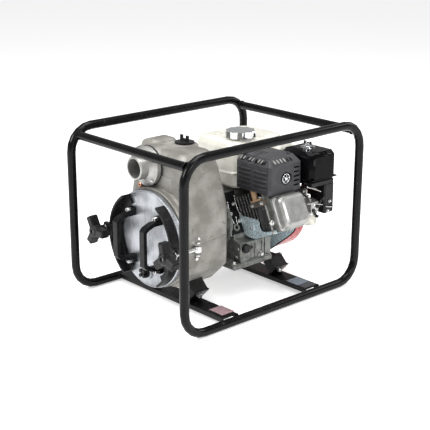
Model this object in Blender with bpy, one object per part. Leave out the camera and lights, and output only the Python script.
"""Portable fire pump: a self-priming trash pump and its petrol engine in a tubular carrying frame.

Metres, +Z up. The pump's cover faces -Y, the engine's recoil starter faces +Y and its cylinder
leans towards +X. The origin is on the ground, under the middle of the frame.
"""

import math

import bmesh
import bpy
from mathutils import Matrix, Vector

GAP = 0.0003  # clearance between two pieces that touch on the real machine

# Carrying frame
TUBE_R = 0.011
LOOP_X = 0.218
LOOP_Y = 0.299
LOOP_TOP = 0.438
LOOP_BEND = 0.0615
CHANNEL_TOP = 0.022
CHANNEL_DEPTH = 0.012
CHANNEL_WIDTH = 0.050
FRONT_CHANNEL_Y = -0.144
BACK_CHANNEL_Y = 0.147
PLATE = 0.003

# Shaft line
SHAFT_X = -0.008
SHAFT_Z = 0.183
SHAFT_R = 0.008

# Rubber mounts, square to a plane that leans 45 degrees
MOUNT_LENGTH = 0.034
MOUNT_HALF = 0.016
MOUNT_LINE = -0.005  # height above the shaft's plumb line, minus the distance from it

# Pump
COVER_R = 0.125
COVER_FRONT = -0.2255
COVER_BACK = -0.2125
FLANGE_FRONT = -0.2090
BODY_FRONT = -0.190
BODY_BACK = -0.057
BODY_HALF = 0.118
WALL = 0.007
PORT_R = 0.030
PORT_BORE = 0.0245
SUCTION = Vector((-0.039, 0.0, 0.360))
DISCHARGE = Vector((0.0, -0.118, 0.345))
FILL = Vector((-0.021, -0.092, 0.0))
CLAMP_OFFSET = 0.1385  # from the shaft to each swing bolt
PIVOT_Y = -0.181
BOLT_R = 0.005
LUG_FRONT = -0.2535
KNOB_BACK = -0.2573

# Engine
TILT = math.radians(25)
CYLINDER_Y = 0.086
BASE_Z = 0.078
CASE_FRONT = 0.0
CASE_BACK = 0.150
CASE_STEP = 0.108  # where the lower right of the crankcase ends, under the cylinder
DECK = 0.056  # from the shaft to the crankcase's deck, along the cylinder
OIL = Vector((0.092, 0.014, 0.129))
BORE = 0.034
THROW = 0.0225
FAN_BACK = 0.235
TANK_TOP = 0.391
EXHAUST = Vector((-0.014, -0.0480, 0.133))  # on the cylinder's axis: down, back and outwards
INTAKE = Vector((0.158, 0.1420, 0.229))
GUARD_LOW = Vector((0.040, 0.026, 0.281))
GUARD_HIGH = Vector((0.165, 0.141, 0.371))
STARTER = Vector((0.118, 0.256, 0.238))
CAP = Vector((-0.004, 0.084, TANK_TOP))
NUT = Vector((0.130, 0.198, 0.3733))


def clear_scene():
    """Remove whatever the file held before."""
    for old in list(bpy.data.objects):
        bpy.data.objects.remove(old, do_unlink=True)


def material(name, colour, roughness, metallic=0.0):
    """Return a Principled material."""
    made = bpy.data.materials.new(name)
    made.use_nodes = True
    shader = made.node_tree.nodes["Principled BSDF"]
    shader.inputs["Base Color"].default_value = (*colour, 1.0)
    shader.inputs["Roughness"].default_value = roughness
    shader.inputs["Metallic"].default_value = metallic
    made.diffuse_color = (*colour, 1.0)
    return made


FINISHES = {
    "black_paint": ((0.012, 0.012, 0.013), 0.22, 0.0),
    "black_steel": ((0.030, 0.031, 0.033), 0.45, 0.3),
    "cast_aluminium": ((0.42, 0.40, 0.36), 0.55, 0.8),
    "machined_aluminium": ((0.62, 0.64, 0.68), 0.28, 1.0),
    "bright_steel": ((0.68, 0.68, 0.67), 0.25, 1.0),
    "chrome": ((0.80, 0.81, 0.82), 0.08, 1.0),
    "zinc_plate": ((0.52, 0.60, 0.63), 0.25, 1.0),
    "cast_iron": ((0.16, 0.15, 0.14), 0.60, 0.7),
    "charcoal_steel": ((0.045, 0.045, 0.050), 0.60, 0.0),
    "rubber": ((0.018, 0.018, 0.018), 0.80, 0.0),
    "black_plastic": ((0.020, 0.020, 0.021), 0.45, 0.0),
    "gloss_plastic": ((0.010, 0.010, 0.011), 0.18, 0.0),
    "red_paint": ((0.55, 0.03, 0.03), 0.30, 0.0),
    "cream_paint": ((0.76, 0.73, 0.62), 0.30, 0.0),
}


# ---------------------------------------------------------------- meshes

def shape_from(rings, closed=False):
    """Join rings of points by quads; the ends are filled unless the shape is closed on itself."""
    shape = bmesh.new()
    loops = [[shape.verts.new(point) for point in ring] for ring in rings]
    pairs = list(zip(loops, loops[1:]))
    if closed:
        pairs.append((loops[-1], loops[0]))
    for first, second in pairs:
        for i in range(len(first)):
            j = (i + 1) % len(first)
            shape.faces.new((first[i], first[j], second[j], second[i]))
    if not closed:
        shape.faces.new(loops[0])
        shape.faces.new(list(reversed(loops[-1])))
    bmesh.ops.recalc_face_normals(shape, faces=shape.faces)
    return shape


def circle(radius, sides, start=0.0):
    """Return points around a circle."""
    angles = [start + math.tau * i / sides for i in range(sides)]
    return [(radius * math.cos(angle), radius * math.sin(angle)) for angle in angles]


def rounded_rectangle(low, high, radius, steps=3):
    """Return a rectangle with round corners, as 2-D points."""
    centres = ((high[0] - radius, high[1] - radius), (low[0] + radius, high[1] - radius),
               (low[0] + radius, low[1] + radius), (high[0] - radius, low[1] + radius))
    return [(cx + radius * math.cos(math.pi / 2 * (corner + i / steps)),
             cy + radius * math.sin(math.pi / 2 * (corner + i / steps)))
            for corner, (cx, cy) in enumerate(centres) for i in range(steps + 1)]


def extrude_y(outline, y0, y1):
    """Extrude an outline drawn in X and Z from y0 to y1."""
    return shape_from([[(x, y, z) for x, z in outline] for y in (y0, y1)])


def extrude_z(outline, z0, z1):
    """Extrude an outline drawn in X and Y from z0 to z1."""
    return shape_from([[(x, y, z) for x, y in outline] for z in (z0, z1)])


def extrude_x(outline, x0, x1):
    """Extrude an outline drawn in Y and Z from x0 to x1."""
    return shape_from([[(x, y, z) for y, z in outline] for x in (x0, x1)])


def block(low, high, bevel=0.0, segments=1):
    """Return a box between two corners, with its edges bevelled."""
    corners = [(low[0], low[1]), (high[0], low[1]), (high[0], high[1]), (low[0], high[1])]
    shape = extrude_z(corners, low[2], high[2])
    if bevel:
        bmesh.ops.bevel(shape, geom=shape.edges[:], offset=bevel, segments=segments,
                        affect="EDGES", profile=0.5)
    return shape


def turn(profile, sides, closed=False):
    """Turn a profile of (radius, height) points about +Z; a radius of zero ends in a point."""
    shape = bmesh.new()
    rings = []
    for radius, height in profile:
        if radius == 0.0:
            rings.append([shape.verts.new((0.0, 0.0, height))])
        else:
            rings.append([shape.verts.new((x, y, height)) for x, y in circle(radius, sides)])
    pairs = list(zip(rings, rings[1:]))
    if closed:
        pairs.append((rings[-1], rings[0]))
    for first, second in pairs:
        for i in range(sides):
            j = (i + 1) % sides
            face = [first[i % len(first)], first[j % len(first)],
                    second[j % len(second)], second[i % len(second)]]
            shape.faces.new(list(dict.fromkeys(face)))
    if not closed:
        for ring in (rings[0], rings[-1]):
            if len(ring) > 1:
                shape.faces.new(ring)
    bmesh.ops.recalc_face_normals(shape, faces=shape.faces)
    return shape


def sweep_tube(path, radius, sides, closed=False):
    """Sweep a round section along a flat path in a plane of constant X; flats face up and down."""
    outer = radius / math.cos(math.pi / sides)
    rings = []
    count = len(path)
    for i, point in enumerate(path):
        before = path[(i - 1) % count] if closed or i else point
        after = path[(i + 1) % count] if closed or i < count - 1 else point
        tangent = (after - before).normalized()
        side = Vector((1.0, 0.0, 0.0))
        up = tangent.cross(side)
        rings.append([point + side * x + up * y for x, y in circle(outer, sides, math.pi / sides)])
    return shape_from(rings, closed)


def place(shape, position=(0, 0, 0), direction=(0, 0, 1)):
    """Move a shape built about +Z so that its axis points along a direction from a position."""
    turned = Vector((0, 0, 1)).rotation_difference(Vector(direction)).to_matrix().to_4x4()
    shape.transform(Matrix.Translation(position) @ turned)
    return shape


def rod(start, end, radius, sides=16):
    """Return a round bar between two points."""
    line = Vector(end) - Vector(start)
    return place(turn([(radius, 0.0), (radius, line.length)], sides), start, line)


# ---------------------------------------------------------------- objects

def add(name, shape, finish, pivot=(0, 0, 0)):
    """Turn a shape into a named object whose origin is at its pivot."""
    bmesh.ops.translate(shape, vec=-Vector(pivot), verts=shape.verts)
    mesh = bpy.data.meshes.new(name)
    shape.to_mesh(mesh)
    shape.free()
    mesh.materials.append(MATERIALS[finish])
    mesh.shade_smooth()
    mesh.set_sharp_from_angle(angle=math.radians(32))
    made = bpy.data.objects.new(name, mesh)
    made.location = pivot
    bpy.context.collection.objects.link(made)
    return made


def combine(target, shape, operation):
    """Add or cut a shape by a Boolean modifier whose operand stays hidden."""
    label = f"tool_{target.name}_{len(target.modifiers)}"
    mesh = bpy.data.meshes.new(label)
    shape.to_mesh(mesh)
    shape.free()
    operand = bpy.data.objects.new(label, mesh)
    operand.hide_render = True
    operand.display_type = "WIRE"
    bpy.context.collection.objects.link(operand)
    modifier = target.modifiers.new(label, "BOOLEAN")
    modifier.operation = operation
    modifier.object = operand


def join(target, *shapes):
    """Weld shapes to an object."""
    for shape in shapes:
        combine(target, shape, "UNION")


def join_local(target, *shapes):
    """Weld shapes given about the target's own origin."""
    for shape in shapes:
        shape.transform(Matrix.Translation(target.location))
        join(target, shape)


def cut(target, *shapes):
    """Cut shapes out of an object."""
    for shape in shapes:
        combine(target, shape, "DIFFERENCE")


# ---------------------------------------------------------------- frame

def loop_path(x):
    """Return the centre line of one side loop: a rectangle with round corners."""
    outline = rounded_rectangle((-LOOP_Y, TUBE_R), (LOOP_Y, LOOP_TOP), LOOP_BEND, 5)
    return [Vector((x, y, z)) for y, z in outline]


def build_frame():
    """Two side loops, two top cross tubes, and two base channels with the mounts' feet."""
    for side, x in (("left", -LOOP_X), ("right", LOOP_X)):
        add(f"frame_loop_{side}", sweep_tube(loop_path(x), TUBE_R, 12, closed=True), "black_paint")
    inner = LOOP_X - TUBE_R - GAP
    drop = LOOP_BEND * (1 - math.cos(math.pi / 4))
    for end, sign in (("front", -1), ("back", 1)):
        centre_y = sign * (LOOP_Y - drop)
        centre_z = LOOP_TOP - drop
        tube = rod((-inner, centre_y, centre_z), (inner, centre_y, centre_z), TUBE_R, 12)
        add(f"top_cross_tube_{end}", tube, "black_paint")
    for end, y in (("front", FRONT_CHANNEL_Y), ("back", BACK_CHANNEL_Y)):
        build_channel(end, y, inner)


def build_channel(end, y, inner):
    """A folded channel, open below, with a leaning foot under each rubber mount."""
    half = CHANNEL_WIDTH / 2
    low, top = CHANNEL_TOP - CHANNEL_DEPTH, CHANNEL_TOP
    outline = [(y - half, low), (y - half + PLATE, low), (y - half + PLATE, top - PLATE),
               (y + half - PLATE, top - PLATE), (y + half - PLATE, low), (y + half, low),
               (y + half, top), (y - half, top)]
    channel = add(f"base_channel_{end}", extrude_x(outline, -inner, inner), "black_paint")
    face = mount_faces(end)[1] + Vector((1, -1)) / math.sqrt(2) * GAP
    reach = MOUNT_HALF + 0.003
    for sign in (-1, 1):
        upper = face + Vector((reach, reach)) / math.sqrt(2)
        foot_x = face.x - (face.y - (top - PLATE / 2))
        thick = PLATE * math.sqrt(2)
        foot = [(foot_x, top - PLATE / 2), (foot_x + thick, top - PLATE / 2),
                (upper.x + thick / 2, upper.y - thick / 2), (upper.x, upper.y)]
        web = [(foot_x + thick / 2, top - PLATE / 2), (upper.x - 0.002, top - PLATE / 2),
               (upper.x - 0.002, upper.y - 0.014)]
        join(channel,
             extrude_y([(SHAFT_X + sign * x, z) for x, z in foot], y - half + 0.001, y + half - 0.001),
             extrude_y([(SHAFT_X + sign * x, z) for x, z in web], y - PLATE / 2, y + PLATE / 2))


def mount_faces(end):
    """Return the middles of a mount's upper and lower faces, as (distance from shaft, height)."""
    distance = 0.074 if end == "front" else 0.0675
    upper = Vector((distance, distance + MOUNT_LINE))
    slope = Vector((1, -1)) / math.sqrt(2)
    return upper + slope * GAP, upper + slope * (MOUNT_LENGTH - GAP)


def build_mounts():
    """Four rubber blocks between bonded plates, square to the leaning faces that they join."""
    slope = Vector((1, -1)) / math.sqrt(2)
    along = Vector((1, 1)) / math.sqrt(2)
    for end, y in (("front", FRONT_CHANNEL_Y), ("back", BACK_CHANNEL_Y)):
        upper, lower = mount_faces(end)
        length = (lower - upper).length
        for side, sign in (("left", -1), ("right", 1)):
            profile = [(0, MOUNT_HALF), (PLATE, MOUNT_HALF), (PLATE, MOUNT_HALF - 0.002),
                       (length - PLATE, MOUNT_HALF - 0.002), (length - PLATE, MOUNT_HALF), (length, MOUNT_HALF)]
            profile += [(depth, -half) for depth, half in reversed(profile)]
            points = [upper + slope * depth + along * half for depth, half in profile]
            outline = [(SHAFT_X + sign * p.x, p.y) for p in points]
            add(f"rubber_mount_{end}_{side}", extrude_y(outline, y - 0.024, y + 0.024), "rubber")


# ---------------------------------------------------------------- pump

def casing_sections(inset):
    """Return the casing's horizontal sections from the ground up, inset for the hollow."""
    half = BODY_HALF
    plan = ((0.062, half - 0.051, BODY_FRONT, -0.060), (0.113, half, BODY_FRONT, BODY_BACK),
            (0.262, half, BODY_FRONT, BODY_BACK), (0.360, half - 0.018, BODY_FRONT, -0.070),
            (0.390, half - 0.028, BODY_FRONT + 0.001, -0.076), (0.402, half - 0.042, BODY_FRONT + 0.012, -0.084))
    last = len(plan) - 1
    sections = []
    for level, (z, reach, front, back) in enumerate(plan):
        height = z + (inset if level == 0 else -inset if level == last else 0.0)
        corners = rounded_rectangle((SHAFT_X - reach + inset, front + inset),
                                    (SHAFT_X + reach - inset, back - inset), 0.018 - inset)
        sections.append([(x, y, height) for x, y in corners])
    return sections


def build_casing():
    """The hollow casing, with its cover flange, port pads, pivot ears and neck for the fill plug."""
    casing = add("pump_casing", shape_from(casing_sections(0.0)), "cast_aluminium")
    join(casing,
         rod((SHAFT_X, FLANGE_FRONT, SHAFT_Z), (SHAFT_X, BODY_FRONT + 0.010, SHAFT_Z), 0.128, 36),
         rod((SUCTION.x, BODY_FRONT, SUCTION.z), (SUCTION.x, BODY_FRONT + 0.040, SUCTION.z), 0.050, 20),
         rod((SHAFT_X - BODY_HALF - 0.003, DISCHARGE.y, DISCHARGE.z),
             (SHAFT_X - BODY_HALF + 0.045, DISCHARGE.y, DISCHARGE.z), 0.044, 20),
         block((-0.106, -0.172, 0.372), (-0.048, -0.084, 0.4145), 0.016, 2),
         rod((FILL.x, FILL.y, 0.380), (FILL.x, FILL.y, 0.404), 0.025, 16))
    for sign in (-1, 1):
        for z in (SHAFT_Z - 0.0145, SHAFT_Z + 0.0085):
            ear = [(SHAFT_X + sign * (BODY_HALF - 0.012), PIVOT_Y - 0.008),
                   (SHAFT_X + sign * (CLAMP_OFFSET + 0.002), PIVOT_Y - 0.008),
                   (SHAFT_X + sign * (CLAMP_OFFSET + 0.010), PIVOT_Y),
                   (SHAFT_X + sign * (CLAMP_OFFSET + 0.002), PIVOT_Y + 0.010),
                   (SHAFT_X + sign * (BODY_HALF - 0.012), PIVOT_Y + 0.030)]
            join(casing, extrude_z(ear, z, z + 0.006))
    cut(casing,
        shape_from(casing_sections(WALL)),
        rod((SHAFT_X, FLANGE_FRONT - 0.01, SHAFT_Z), (SHAFT_X, BODY_FRONT + 0.03, SHAFT_Z), 0.104, 28),
        rod((SHAFT_X, BODY_BACK - 0.03, SHAFT_Z), (SHAFT_X, BODY_BACK + 0.02, SHAFT_Z), 0.082, 24),
        rod((SUCTION.x, BODY_FRONT - 0.01, SUCTION.z), (SUCTION.x, BODY_FRONT + 0.05, SUCTION.z), PORT_BORE, 18),
        rod((SHAFT_X - BODY_HALF - 0.02, DISCHARGE.y, DISCHARGE.z),
            (SHAFT_X - BODY_HALF + 0.06, DISCHARGE.y, DISCHARGE.z), PORT_BORE, 18),
        rod((FILL.x, FILL.y, 0.37), (FILL.x, FILL.y, 0.42), 0.0165, 14))
    for sign in (-1, 1):
        x = SHAFT_X + sign * CLAMP_OFFSET
        cut(casing, rod((x, PIVOT_Y, SHAFT_Z - 0.03), (x, PIVOT_Y, SHAFT_Z + 0.03), 0.0043, 10))


def build_ports():
    """Suction flange with gasket and flap, discharge flange, fill plug and drain plug."""
    y = BODY_FRONT - GAP
    gasket = turn([(PORT_BORE + 0.001, 0), (0.0512, 0), (0.0512, 0.003), (PORT_BORE + 0.001, 0.003)], 24,
                  closed=True)
    add("suction_gasket", place(gasket, (SUCTION.x, y, SUCTION.z), (0, -1, 0)), "rubber")
    flange = turn([(PORT_BORE, 0), (0.0500, 0), (0.0500, 0.012), (0.038, 0.016), (PORT_R, 0.022),
                   (PORT_R, 0.044), (PORT_R - 0.0015, 0.046), (PORT_BORE, 0.046)], 20, closed=True)
    add("suction_flange", place(flange, (SUCTION.x, y - 0.003 - GAP, SUCTION.z), (0, -1, 0)), "cast_aluminium")
    outer = SHAFT_X - BODY_HALF - 0.003 - GAP
    flange = turn([(PORT_BORE, 0), (0.044, 0), (0.044, 0.012), (0.036, 0.015), (PORT_R, 0.020),
                   (PORT_R, 0.040), (PORT_R - 0.0015, 0.042), (PORT_BORE, 0.042)], 20, closed=True)
    add("discharge_flange", place(flange, (outer, DISCHARGE.y, DISCHARGE.z), (-1, 0, 0)), "cast_aluminium")

    hinge = Vector((SUCTION.x, BODY_FRONT + WALL + 0.0045, SUCTION.z + 0.0275))
    flap = rod((SUCTION.x, hinge.y - 0.0025, SUCTION.z), (SUCTION.x, hinge.y + 0.0015, SUCTION.z), 0.0265, 18)
    flap = add("check_valve_flap", flap, "rubber", hinge)
    for sign in (-1, 1):
        arm_x = SUCTION.x + sign * 0.010
        arm = block((arm_x - 0.003, hinge.y - 0.0025, SUCTION.z + 0.018),
                    (arm_x + 0.003, hinge.y + 0.0015, hinge.z + 0.001))
        arm.transform(Matrix.Translation(-hinge))
        join_local(flap, arm)

    seat = Vector((FILL.x, FILL.y, 0.404 + GAP))
    plug = turn([(0.0145, -0.016), (0.0145, 0), (0.0250, 0), (0.0250, 0.004), (0.010, 0.007), (0, 0.007)], 16)
    plug = add("fill_plug", place(plug, seat), "black_plastic", seat)
    for sign in (-1, 1):
        wing = block((sign * 0.011 - 0.005, -0.003, 0.005), (sign * 0.011 + 0.005, 0.003, 0.020), 0.0015)
        join_local(plug, wing)
    join_local(plug, block((-0.008, -0.003, 0.004), (0.008, 0.003, 0.011)))


def build_cover():
    """The round cleanout cover, its seal, two grab handles and the drain plug."""
    profile = [(0, COVER_FRONT), (COVER_R - 0.003, COVER_FRONT), (COVER_R, COVER_FRONT + 0.002),
               (COVER_R, COVER_BACK), (0.1015, COVER_BACK), (0.1015, COVER_BACK + 0.008),
               (0.090, COVER_BACK + 0.008), (0.088, COVER_BACK), (0, COVER_BACK)]
    cover = turn([(radius, -depth) for radius, depth in profile], 36)
    cover = add("front_cover", place(cover, (SHAFT_X, 0, SHAFT_Z), (0, -1, 0)), "machined_aluminium")
    drain = Vector((SHAFT_X - 0.004, COVER_FRONT, SHAFT_Z - 0.088))
    join(cover, rod(drain + Vector((0, 0.002, 0)), drain + Vector((0, -0.004, 0)), 0.019, 18))
    cut(cover, rod(drain + Vector((0, 0.02, 0)), drain + Vector((0, -0.01, 0)), 0.0115, 14))

    seat = drain + Vector((0, -0.004 - GAP, 0))
    plug = turn([(0.0105, -0.012), (0.0105, 0), (0.0145, 0), (0.0145, 0.005), (0, 0.005)], 14)
    plug = add("drain_plug", place(plug, seat, (0, -1, 0)), "black_plastic", seat)
    for i in range(4):
        lobe = rod((0, 0, 0.002), (0, 0, 0.014), 0.0048, 10)
        angle = math.pi / 4 + i * math.pi / 2
        lobe.transform(Matrix.Translation((0.0085 * math.cos(angle), 0.0085 * math.sin(angle), 0)))
        join(plug, place(lobe, seat, (0, -1, 0)))
    join(plug, place(turn([(0.008, 0.003), (0.008, 0.011)], 10), seat, (0, -1, 0)))

    seal = turn([(0.1045, 0.0005), (0.118, 0.0005), (0.118, 0.0029), (0.1045, 0.0029)], 28, closed=True)
    add("cover_seal", place(seal, (SHAFT_X, FLANGE_FRONT, SHAFT_Z), (0, -1, 0)), "rubber")

    for side, sign in (("left", -1), ("right", 1)):
        build_cover_handle(side, SHAFT_X + sign * 0.053)


def build_cover_handle(side, x):
    """A flat steel grab handle: two feet on the cover, two legs and a grip."""
    front = COVER_FRONT - GAP
    path = [(front, 0.073), (front, 0.052), (front - 0.026, 0.052), (front - 0.045, 0.045),
            (front - 0.050, 0.040), (front - 0.050, -0.040), (front - 0.045, -0.045),
            (front - 0.026, -0.052), (front, -0.052), (front, -0.073)]
    inner = [(front - 0.012, 0.073), (front - 0.012, 0.062), (front - 0.030, 0.062), (front - 0.052, 0.054),
             (front - 0.060, 0.045), (front - 0.060, -0.045), (front - 0.052, -0.054),
             (front - 0.030, -0.062), (front - 0.012, -0.062), (front - 0.012, -0.073)]
    outline = [(y, SHAFT_Z + z) for y, z in path + inner[::-1]]
    add(f"cover_handle_{side}", extrude_x(outline, x - 0.009, x + 0.009), "black_steel")


def build_clamps():
    """For each side: a curved clamp bar, a swing bolt on its pin, a washer and a hand knob."""
    for side, sign in (("left", -1), ("right", 1)):
        build_clamp_bar(side, sign)
        build_swing_bolt(side, sign)


def build_clamp_bar(side, sign):
    """An angle bar bent to the cover's rim, with a slotted lug at the middle of its length."""
    middle = 0.0 if sign > 0 else math.pi
    reach = math.radians(57)
    steps = 15
    sections = []
    back = COVER_FRONT - GAP
    for i in range(steps):
        angle = middle - reach + 2 * reach * i / (steps - 1)
        ray = Vector((math.cos(angle), 0, math.sin(angle)))
        centre = Vector((SHAFT_X, 0, SHAFT_Z))
        profile = [(0.098, back), (0.123, back), (0.123, back - 0.027), (0.117, back - 0.027),
                   (0.117, back - 0.006), (0.098, back - 0.006)]
        sections.append([centre + ray * radius + Vector((0, y, 0)) for radius, y in profile])
    bar = add(f"clamp_bar_{side}", shape_from(sections), "black_steel")
    root, slot, tip = (SHAFT_X + sign * offset
                       for offset in (0.112, CLAMP_OFFSET - 0.0065, CLAMP_OFFSET + 0.0075))
    low, high = min(root, tip), max(root, tip)
    join(bar, block((low, LUG_FRONT, SHAFT_Z - 0.016), (high, LUG_FRONT + 0.012, SHAFT_Z + 0.016), 0.0015))
    outside = tip + sign * 0.01
    cut(bar, block((min(slot, outside), LUG_FRONT - 0.01, SHAFT_Z - 0.0062),
                   (max(slot, outside), LUG_FRONT + 0.02, SHAFT_Z + 0.0062)))


def build_swing_bolt(side, sign):
    """An eye bolt that swings about an upright pin, with the washer and knob that it carries."""
    x = SHAFT_X + sign * CLAMP_OFFSET
    pivot = Vector((x, PIVOT_Y, SHAFT_Z))
    pin = turn([(0.0065, -0.018), (0.0065, -0.0148), (0.0040, -0.0148),
                (0.0040, 0.0148), (0.0065, 0.0148), (0.0065, 0.018)], 10)
    add(f"pivot_pin_{side}", place(pin, pivot), "bright_steel")
    eye = rod(pivot + Vector((0, 0, -0.0075)), pivot + Vector((0, 0, 0.0075)), 0.0095, 14)
    bolt = add(f"swing_bolt_{side}", eye, "bright_steel", pivot)
    join(bolt, rod(pivot + Vector((0, -0.006, 0)), (x, KNOB_BACK - 0.034, SHAFT_Z), BOLT_R, 10))
    cut(bolt, rod(pivot + Vector((0, 0, -0.02)), pivot + Vector((0, 0, 0.02)), 0.0043, 10))

    washer = turn([(BOLT_R + GAP, 0), (0.011, 0), (0.011, 0.0026), (BOLT_R + GAP, 0.0026)], 14,
                  closed=True)
    seat = Vector((x, KNOB_BACK + 0.0029, SHAFT_Z))
    add(f"knob_washer_{side}", place(washer, seat, (0, -1, 0)), "bright_steel", seat)

    back = Vector((x, KNOB_BACK, SHAFT_Z))
    hub = turn([(BOLT_R + GAP, 0), (0.010, 0), (0.016, 0.020), (0.016, 0.034), (0.012, 0.038),
                (BOLT_R + GAP, 0.038)], 12, closed=True)
    knob = add(f"clamp_knob_{side}", place(hub, back, (0, -1, 0)), "black_plastic", back)
    first = math.radians(118 if sign < 0 else 100)
    for i in range(3):
        lobe = block((0.009, -0.0105, 0.011), (0.040, 0.0105, 0.036), 0.003)
        lobe.transform(Matrix.Rotation(first + i * math.tau / 3, 4, "Z"))
        join(knob, place(lobe, back, (0, -1, 0)))


def build_pump_inside():
    """Volute, impeller and shaft seal, and the adapter that closes the casing's back."""
    centre = Vector((SHAFT_X, 0, SHAFT_Z))
    steps = 26
    spiral = []
    for i in range(steps):
        angle = math.radians(60 + 300 * i / (steps - 1))
        radius = 0.070 + 0.024 * i / (steps - 1)
        spiral.append((SHAFT_X + radius * math.cos(angle), SHAFT_Z + radius * math.sin(angle)))
    spiral += [(SHAFT_X + 0.094, 0.262), (SHAFT_X + 0.054, 0.262)]
    volute = add("volute", extrude_y(spiral, -0.118, -0.0667), "cast_iron")
    cut(volute,
        rod(centre + Vector((0, -0.1125, 0)), centre + Vector((0, -0.05, 0)), 0.064, 24),
        rod(centre + Vector((0, -0.13, 0)), centre + Vector((0, -0.10, 0)), 0.030, 18),
        block((SHAFT_X + 0.060, -0.108, SHAFT_Z - 0.010), (SHAFT_X + 0.088, -0.078, 0.31)))

    eye = turn([(SHAFT_R + GAP, 0.0712), (0.056, 0.0712), (0.056, 0.0745), (0.020, 0.0765), (0.015, 0.105),
                (SHAFT_R + GAP, 0.105)], 18, closed=True)
    impeller = add("impeller", place(eye, centre, (0, -1, 0)), "cast_iron", centre)
    for start in (0.0, math.pi):
        join(impeller, place(vane(start), centre, (0, -1, 0)))

    seal = turn([(SHAFT_R + 0.0006, 0.0515), (0.0195, 0.0515), (0.0195, 0.066), (0.0150, 0.0700),
                 (SHAFT_R + 0.0006, 0.0700)], 14, closed=True)
    add("mechanical_seal", place(seal, centre, (0, -1, 0)), "bright_steel")

    joint = -BODY_BACK - GAP
    profile = [(0.0135, GAP), (0.070, GAP), (0.070, 0.010), (0.060, 0.014), (0.060, 0.042), (0.095, 0.046),
               (0.095, joint), (0.0805, joint), (0.0805, 0.0664), (0.020, 0.0664),
               (0.020, 0.0510), (0.0135, 0.0510)]
    add("pump_adapter", place(turn(profile, 24, closed=True), centre, (0, -1, 0)), "cast_aluminium")


def vane(start):
    """Return one backward-curved impeller vane about +Z."""
    inner, outer = [], []
    for i in range(7):
        share = i / 6
        angle = start + 1.5 * share
        radius = 0.017 + 0.038 * share
        inner.append(((radius - 0.002) * math.cos(angle), (radius - 0.002) * math.sin(angle)))
        outer.append(((radius + 0.002) * math.cos(angle - 0.05), (radius + 0.002) * math.sin(angle - 0.05)))
    return extrude_z(inner + outer[::-1], 0.074, 0.104)


# ---------------------------------------------------------------- engine

def on_cylinder(shape):
    """Place a shape on the cylinder's axis: its +Z runs outwards, its +X down, its +Y to the back."""
    shape.transform(Matrix.Translation((SHAFT_X, CYLINDER_Y, SHAFT_Z)) @
                    Matrix.Rotation(math.pi / 2 - TILT, 4, "Y"))
    return shape


def build_crankcase():
    """Crankcase with its base flange, and the oil filler cap."""
    outline = [(-0.080, BASE_Z), (0.092, BASE_Z), (0.092, 0.143), (0.080, 0.1455), (0.0655, 0.1490),
               (0.0640, 0.1610), (0.0172, 0.2615), (-0.050, 0.2615), (-0.080, 0.235)]
    case = add("crankcase", extrude_y(outline, CASE_FRONT, CASE_BACK), "cast_aluminium")
    join(case, block((-0.106, 0.008, BASE_Z), (0.097, CASE_BACK, BASE_Z + 0.015), 0.002))
    cut(case,
        rod((SHAFT_X, CASE_FRONT + 0.012, SHAFT_Z), (SHAFT_X, 0.132, SHAFT_Z), 0.052, 24),
        rod((SHAFT_X, -0.01, SHAFT_Z), (SHAFT_X, 0.17, SHAFT_Z), 0.0135, 14),
        on_cylinder(turn([(BORE, 0.02), (BORE, 0.10)], 20)),
        block((0.050, CASE_STEP, BASE_Z - 0.01), (0.120, CASE_BACK + 0.01, 0.170)))
    for x, back in ((-0.090, 0.128), (0.084, 0.095)):
        for y in (0.028, back):
            cut(case, rod((x, y, BASE_Z - 0.01), (x, y, BASE_Z + 0.02), 0.0045, 10))
    hole = OIL
    outwards = Vector((1, 0, 0))
    cut(case, rod(hole - outwards * 0.016, hole + outwards * 0.01, 0.0085, 10))
    cap = turn([(0.0078, -0.012), (0.0078, GAP), (0.0125, GAP), (0.0125, 0.008), (0.010, 0.010), (0, 0.010)], 12)
    cap = add("oil_cap", place(cap, hole, outwards), "black_plastic", hole)
    join_local(cap, block((0.003, 0.004, -0.0035), (0.009, 0.021, 0.0035), 0.001))


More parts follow.
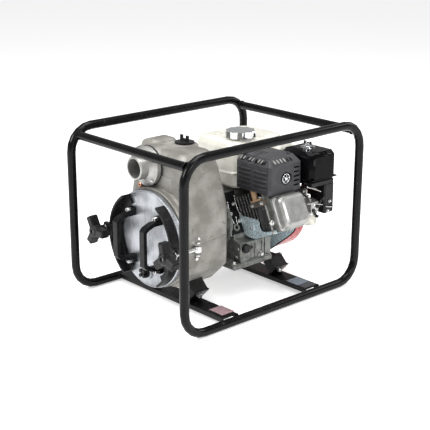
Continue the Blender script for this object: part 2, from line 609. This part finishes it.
def build_rotor():
    """Crankshaft from the impeller to the starter side, and the flywheel with its fan blades."""
    centre = Vector((SHAFT_X, 0, SHAFT_Z))
    web_front, web_back = CYLINDER_Y - 0.030, CYLINDER_Y + 0.016
    pump_end = [(0, -0.1110), (0.0115, -0.1110), (0.0115, -0.1053), (SHAFT_R, -0.1053),
                (SHAFT_R, -0.050), (0.0095, -0.048), (0.0095, -0.002), (0.0125, 0.0),
                (0.0125, web_front + 0.002), (0, web_front + 0.002)]
    flywheel_end = [(0, web_back + 0.010), (0.0130, web_back + 0.010), (0.0130, 0.1535), (0.0100, 0.1550),
                    (0.0100, 0.2080), (0, 0.2080)]
    turned = [place(turn([(radius, -y) for radius, y in ends], 14), centre, (0, -1, 0))
              for ends in (pump_end, flywheel_end)]
    shaft = add("crankshaft", turned[0], "bright_steel", centre)
    pin = centre + Vector((-THROW * math.cos(TILT), 0, -THROW * math.sin(TILT)))
    web = [(-0.018, 0.030), (-0.032, 0.018), (-0.040, -0.010), (-0.034, -0.028),
           (0.034, -0.028), (0.040, -0.010), (0.032, 0.018), (0.018, 0.030)]
    lean = math.atan2(pin.z - centre.z, pin.x - centre.x) - math.pi / 2
    web = [(SHAFT_X + x * math.cos(lean) - z * math.sin(lean),
            SHAFT_Z + x * math.sin(lean) + z * math.cos(lean)) for x, z in web]
    join(shaft,
         extrude_y(web, web_front, web_front + 0.014),
         rod((pin.x, web_front + 0.010, pin.z), (pin.x, web_back + 0.004, pin.z), 0.013, 12),
         extrude_y(web, web_back, web_back + 0.014),
         turned[1])

    profile = [(0.0103, 0.1560), (0.030, 0.1560), (0.034, 0.1640), (0.080, 0.1640), (0.084, 0.1560),
               (0.095, 0.1560), (0.095, 0.1760), (0.034, 0.1800), (0.030, 0.1900), (0.0103, 0.1900)]
    wheel = place(turn([(radius, -y) for radius, y in profile], 24, closed=True), centre, (0, -1, 0))
    wheel = add("flywheel", wheel, "cast_iron", centre)
    for i in range(8):
        blade = block((0.058, -0.0012, 0.172), (0.092, 0.0012, 0.198))
        blade.transform(Matrix.Scale(-1, 4, (0, 0, 1)))
        bmesh.ops.reverse_faces(blade, faces=blade.faces)
        blade.transform(Matrix.Rotation(i * math.tau / 8, 4, "Z"))
        join(wheel, place(blade, centre, (0, -1, 0)))


def build_cylinder():
    """Finned cylinder, cylinder head and valve cover, on the leaning axis."""
    barrel = turn([(0.040, DECK + GAP), (0.040, 0.1590)], 20)
    cylinder = add("cylinder", on_cylinder(barrel), "cast_aluminium")
    for i in range(9):
        z = 0.0630 + i * 0.0112
        fin = extrude_z(rounded_rectangle((-0.042, -0.045), (0.052, 0.045), 0.012, 1), z, z + 0.0022)
        join(cylinder, on_cylinder(fin))
    cut(cylinder, on_cylinder(turn([(BORE, 0.05), (BORE, 0.17)], 20)),
        on_cylinder(block((-0.045, -0.080, 0.118), (0.0010, -0.0385, 0.165))))

    deck = extrude_z(rounded_rectangle((-0.040, -0.045), (0.072, 0.045), 0.010), 0.1593, 0.1750)
    head = add("cylinder_head", on_cylinder(deck), "cast_aluminium")
    rim = extrude_z(rounded_rectangle((-0.016, -0.048), (0.078, 0.048), 0.012), 0.1740, 0.1850)
    join(head, on_cylinder(rim),
         on_cylinder(block((-0.0137, -0.0580, 0.121), (0.0000, -0.0404, 0.168), 0.002)),
         rod((INTAKE.x, CYLINDER_Y + 0.045, INTAKE.z), (INTAKE.x, INTAKE.y - GAP, INTAKE.z), 0.012, 12))
    cut(head, on_cylinder(turn([(0.030, 0.150), (0.018, 0.166)], 18)),
        rod((INTAKE.x, INTAKE.y - 0.018, INTAKE.z), (INTAKE.x, INTAKE.y + 0.01, INTAKE.z), 0.008, 10),
        on_cylinder(rod((-0.03, EXHAUST.y, EXHAUST.z), (-0.006, EXHAUST.y, EXHAUST.z), 0.0065, 10)))

    flange = extrude_z(rounded_rectangle((-0.014, -0.047), (0.077, 0.047), 0.012), 0.1853, 0.1890)
    cover = add("valve_cover", on_cylinder(flange), "cast_aluminium")
    rings = []
    for z, inset in ((0.1885, 0.004), (0.2060, 0.004), (0.2130, 0.007), (0.2165, 0.014)):
        ring = rounded_rectangle((-0.014 + inset, -0.047 + inset), (0.077 - inset, 0.047 - inset), 0.014)
        rings.append([(x, y, z) for x, y in ring])
    join(cover, on_cylinder(shape_from(rings)))


def build_silencer():
    """Silencer can with its exhaust pipe, inside a slotted sheet guard."""
    low, high = GUARD_LOW + Vector((0.010, 0.004, 0.0145)), GUARD_HIGH - Vector((0.014, 0.012, 0.012))
    can = add("silencer", block(low, high, 0.010, 2), "charcoal_steel")
    upper = EXHAUST + Vector((-GAP, 0, 0))
    flange = block((upper.x - 0.005, upper.y - 0.0100, upper.z - 0.012),
                   (upper.x, upper.y + 0.0088, upper.z + 0.024), 0.001)
    outlet = Vector((high.x, 0.092, 0.318))
    join(can, on_cylinder(rod(upper, upper + Vector((-0.054, 0, 0)), 0.0085, 12)),
         on_cylinder(flange),
         rod(outlet - Vector((0.003, 0, 0)), outlet + Vector((0.012, 0, 0)), 0.0095, 12))
    cut(can, rod(outlet + Vector((-0.02, 0, 0)), outlet + Vector((0.03, 0, 0)), 0.0075, 12))

    guard = add("silencer_guard", guard_shell(0.0), "charcoal_steel")
    cut(guard, guard_shell(0.0018), rod(outlet, outlet + Vector((0.05, 0, 0)), 0.0125, 14))
    for i in range(5):
        z = 0.293 + i * 0.0115
        cut(guard, block((0.150, 0.112, z), (0.175, 0.132, z + 0.004)))
    for i in range(4):
        x = 0.058 + i * 0.024
        cut(guard, block((x, 0.020, 0.3545), (x + 0.012, 0.040, 0.3605)))


def guard_shell(inset):
    """Return the guard's chamfered box, which is open below where the inset is taken."""
    low, high = GUARD_LOW, GUARD_HIGH
    slope = 0.018
    rings = []
    for z, shrink in ((low.z - (0.01 if inset else 0.0), 0.0), (high.z - slope, 0.0), (high.z - inset, slope)):
        corners = rounded_rectangle((low.x + inset + shrink * 0.6, low.y + inset + shrink),
                                    (high.x - inset - shrink, high.y - inset - shrink * 0.6), 0.006 - inset, 1)
        rings.append([(x, y, z) for x, y in corners])
    return shape_from(rings)


def build_sheet_metal():
    """The zinc plate under the fins, the red fan housing, and the recoil starter."""
    front, back, thick = -0.0510, 0.048, 0.0014
    bend = 0.016
    path = [(front, 0.0165)]
    path += [(front + bend - bend * math.cos(a), 0.048 + bend * math.sin(a))
             for a in (math.pi / 2 * i / 5 for i in range(6))]
    path.append((back, 0.048 + bend))
    inner = [(front + thick, 0.0165)]
    inner += [(front + bend - (bend - thick) * math.cos(a), 0.048 + (bend - thick) * math.sin(a))
              for a in (math.pi / 2 * i / 5 for i in range(6))]
    inner.append((back, 0.048 + bend - thick))
    outline = path + inner[::-1]
    plate = shape_from([[(x, y, z) for y, x in outline] for z in (0.0600, 0.1480)])
    add("lower_shroud", on_cylinder(plate), "zinc_plate")

    centre = Vector((SHAFT_X, 0, SHAFT_Z))
    radius, sheet = 0.113, 0.002
    front = CASE_BACK + GAP
    profile = [(0.056, front), (radius, front), (radius, 0.226), (radius - 0.009, FAN_BACK), (0.066, FAN_BACK),
               (0.066, FAN_BACK - sheet), (radius - 0.010, FAN_BACK - sheet), (radius - sheet, 0.225),
               (radius - sheet, front + sheet), (0.056, front + sheet)]
    housing = turn([(r, -y) for r, y in profile], 28, closed=True)
    housing = add("fan_housing", place(housing, centre, (0, -1, 0)), "red_paint")
    join(housing, block((-0.140, 0.165, 0.150), (SHAFT_X - radius + 0.004, 0.195, 0.190), 0.002))

    dome = [(0.090, FAN_BACK + GAP), (0.090, 0.262), (0.080, 0.272), (0.0, 0.272)]
    inside = [(0.087, FAN_BACK - 0.01), (0.087, 0.261), (0.079, 0.269), (0.0, 0.269)]
    recoil = add("recoil_cover", place(turn([(r, -y) for r, y in dome], 28), centre, (0, -1, 0)), "black_plastic")
    cut(recoil, place(turn([(r, -y) for r, y in inside], 28), centre, (0, -1, 0)))
    join(recoil, rod((centre.x, 0.246, centre.z), (centre.x, 0.270, centre.z), 0.009, 12),
         block((0.058, 0.2595, STARTER.z - 0.010), (0.085, 0.2700, STARTER.z + 0.010)),
         block((0.066, 0.246, STARTER.z - 0.010), (STARTER.x - 0.0103, 0.2655, STARTER.z + 0.010), 0.002))
    cut(recoil, rod((0.055, STARTER.y, STARTER.z), (STARTER.x, STARTER.y, STARTER.z), 0.0045, 10))
    for i in range(6):
        angle = math.pi / 6 + i * math.pi / 3
        slot = block((0.040, 0.262, -0.006), (0.078, 0.280, 0.006))
        slot.transform(Matrix.Translation(centre) @ Matrix.Rotation(-angle, 4, "Y"))
        cut(recoil, slot)

    reel = [(0.0093, 0.2480), (0.058, 0.2480), (0.058, 0.2500), (0.052, 0.2530), (0.058, 0.2560),
            (0.058, 0.2580), (0.0093, 0.2580)]
    reel = turn([(r, -y) for r, y in reel], 24, closed=True)
    add("starter_reel", place(reel, centre, (0, -1, 0)), "black_plastic", centre)
    grip = block((-0.009, -0.011, -0.034), (0.009, 0.011, 0.034), 0.005, 2)
    grip.transform(Matrix.Translation(STARTER))
    add("starter_grip", grip, "black_plastic", STARTER)


def build_tank():
    """Cream fuel tank with its pressed seam, and the chromed cap."""
    levels = ((0.266, 0.020), (0.276, 0.008), (0.308, 0.004), (0.309, 0.0), (0.312, 0.0), (0.313, 0.004),
              (0.372, 0.008), (0.386, 0.014), (TANK_TOP, 0.026))
    rings = []
    for z, inset in levels:
        corners = rounded_rectangle((-0.138 + inset, 0.022 + inset),
                                    (0.0385 - inset * 0.6, 0.228 - inset), 0.030)
        rings.append([(x, y, z) for x, y in corners])
    tank = add("fuel_tank", shape_from(rings), "cream_paint")
    wing = []
    for z, inset in ((0.310, 0.0), (0.362, 0.004), (0.378, 0.014)):
        corners = rounded_rectangle((-0.030 + inset, 0.1455 + inset), (0.0750 - inset, 0.222 - inset), 0.012)
        wing.append([(x, y, z) for x, y in corners])
    join(tank, shape_from(wing))
    cut(tank, block((-0.2, CASE_BACK - 0.0025, 0.25), (0.1, 0.24, 0.2990)))
    neck = CAP + Vector((0, 0, -0.012))
    join(tank, rod(neck, CAP + Vector((0, 0, 0.0045)), 0.026, 18))
    for floor, back in ((0.270, CASE_BACK - 0.010), (0.305, 0.218)):
        hollow = []
        for z, inset in ((floor, 0.012), (0.372, 0.0), (TANK_TOP - 0.004, 0.020)):
            corners = rounded_rectangle((-0.126 + inset, 0.034 + inset),
                                        (0.0280 - inset * 0.6, back - inset), 0.020)
            hollow.append([(x, y, z) for x, y in corners])
        cut(tank, shape_from(hollow))
    cut(tank, rod(CAP + Vector((0, 0, -0.03)), CAP + Vector((0, 0, 0.01)), 0.022, 18))

    cap = turn([(0.0215, -0.008), (0.0215, 0.0048), (0.030, 0.0048), (0.030, 0.012), (0, 0.012)], 18)
    cap = add("fuel_cap", place(cap, CAP), "chrome", CAP)
    rim = [(CAP.x + (0.0380 + 0.0025 * math.cos(angle * 10)) * math.cos(angle),
            CAP.y + (0.0380 + 0.0025 * math.cos(angle * 10)) * math.sin(angle))
           for angle in (i * math.tau / 40 for i in range(40))]
    join(cap, extrude_z(rim, CAP.z + 0.0052, CAP.z + 0.022))


def build_intake():
    """Air cleaner and its nut, elbow, carburettor, and the three small control levers."""
    low, high = Vector((0.080, 0.1470, 0.2920)), Vector((0.195, 0.240, 0.373))
    cover = add("air_cleaner_cover", block(low, high, 0.011, 1), "gloss_plastic")
    cut(cover, block(low + Vector((0.004, 0.004, -0.02)), high - Vector((0.004, 0.004, 0.005)), 0.006),
        rod((NUT.x, NUT.y, 0.36), (NUT.x, NUT.y, 0.39), 0.004, 10))
    base = block((low.x + 0.0045, low.y + 0.0045, 0.2835), (high.x - 0.0045, high.y - 0.0045, 0.297), 0.002)
    base = add("air_cleaner_base", base, "black_plastic")
    join(base, block((0.138, 0.2010, 0.205), (0.192, 0.2375, 0.287), 0.004),
         rod((INTAKE.x, 0.1945 + GAP, INTAKE.z), (INTAKE.x, 0.206, INTAKE.z), 0.017, 12),
         rod((NUT.x, NUT.y, 0.290), (NUT.x, NUT.y, NUT.z + 0.014), 0.0028, 10))
    cut(base, rod((INTAKE.x, 0.19, INTAKE.z), (INTAKE.x, 0.225, INTAKE.z), 0.011, 10),
        block((0.144, 0.206, 0.212), (0.186, 0.232, 0.31)))
    nut = turn([(0.0031, 0), (0.020, 0), (0.020, 0.0015), (0.0075, 0.003), (0.0065, 0.010), (0.0031, 0.010)],
               14, closed=True)
    nut = add("air_cleaner_nut", place(nut, NUT), "chrome", NUT)
    for sign in (-1, 1):
        wing = block((sign * 0.010 - 0.0045, -0.0012, 0.005), (sign * 0.010 + 0.0045, 0.0012, 0.016))
        join_local(nut, wing)

    body = rod(INTAKE + Vector((0, GAP, 0)), (INTAKE.x, 0.1945, INTAKE.z), 0.0145, 12)
    carburettor = add("carburettor", body, "cast_aluminium")
    middle = Vector((INTAKE.x + 0.014, 0.166, INTAKE.z))
    join(carburettor,
         block((middle.x - 0.030, 0.152, middle.z - 0.012), (middle.x + 0.020, 0.180, middle.z + 0.016), 0.002),
         place(turn([(0.010, 0), (0.018, 0.003), (0.019, 0.024), (0.019, 0.040)], 16),
               middle + Vector((0, 0, -0.048))))
    cut(carburettor, rod((INTAKE.x, 0.135, INTAKE.z), (INTAKE.x, 0.20, INTAKE.z), 0.009, 10))
    side = middle.x + 0.0203
    build_lever("throttle_lever", middle + Vector((0, 0, 0.0163)), (0, 0, 1), 0.026, 2.5, "bright_steel")
    build_lever("choke_lever", Vector((side, 0.173, middle.z + 0.004)), (1, 0, 0), 0.024, 2.4, "black_plastic")
    build_lever("fuel_lever", Vector((side, 0.158, middle.z - 0.005)), (1, 0, 0), 0.020, 0.6, "black_plastic")
    build_lever("engine_switch", Vector((-0.1403, 0.180, 0.170)), (-1, 0, 0), 0.012, 1.2, "red_paint")


def build_lever(name, pivot, axis, reach, turned, finish):
    """A flat lever with a round boss, which turns about an axis through its pivot."""
    lever = turn([(0.005, 0), (0.005, 0.0045), (0, 0.0045)], 10)
    made = add(name, place(lever, pivot, axis), finish, pivot)
    arm = block((0, -0.003, 0.0010), (reach, 0.003, 0.0035), 0.0008)
    tip = rod((reach, 0, 0.0012), (reach, 0, 0.0065), 0.0042, 10)
    for shape in (arm, tip):
        shape.transform(Matrix.Rotation(turned, 4, "Z"))
        join(made, place(shape, pivot, axis))


def build_saddle():
    """The folded plate under the engine's base, whose wings lean to meet the back rubber mounts."""
    half, top, thick = 0.080, BASE_Z - GAP, PLATE
    shift = thick * math.sqrt(2)
    tip_x, tip_z = half - 0.026, top - 0.026
    right = [(half, top), (half - 0.026, top - 0.026), (tip_x - shift, tip_z), (half - shift - thick, top - thick)]
    outline = [(SHAFT_X + x, z) for x, z in right] + [(SHAFT_X - x, z) for x, z in reversed(right)]
    saddle = add("engine_saddle", extrude_y(outline, 0.020, CASE_BACK - 0.001), "black_paint")
    for sign in (-1, 1):
        wing = [(SHAFT_X + sign * x, z) for x, z in right]
        join(saddle, extrude_y(wing, CASE_BACK - 0.010, BACK_CHANNEL_Y + 0.024))


def main():
    """Build every sub-part of the pump."""
    build_frame()
    build_mounts()
    build_saddle()
    build_casing()
    build_ports()
    build_cover()
    build_clamps()
    build_pump_inside()
    build_crankcase()
    build_rotor()
    build_cylinder()
    build_silencer()
    build_sheet_metal()
    build_tank()
    build_intake()


clear_scene()
MATERIALS = {name: material(name, *values) for name, values in FINISHES.items()}
main()
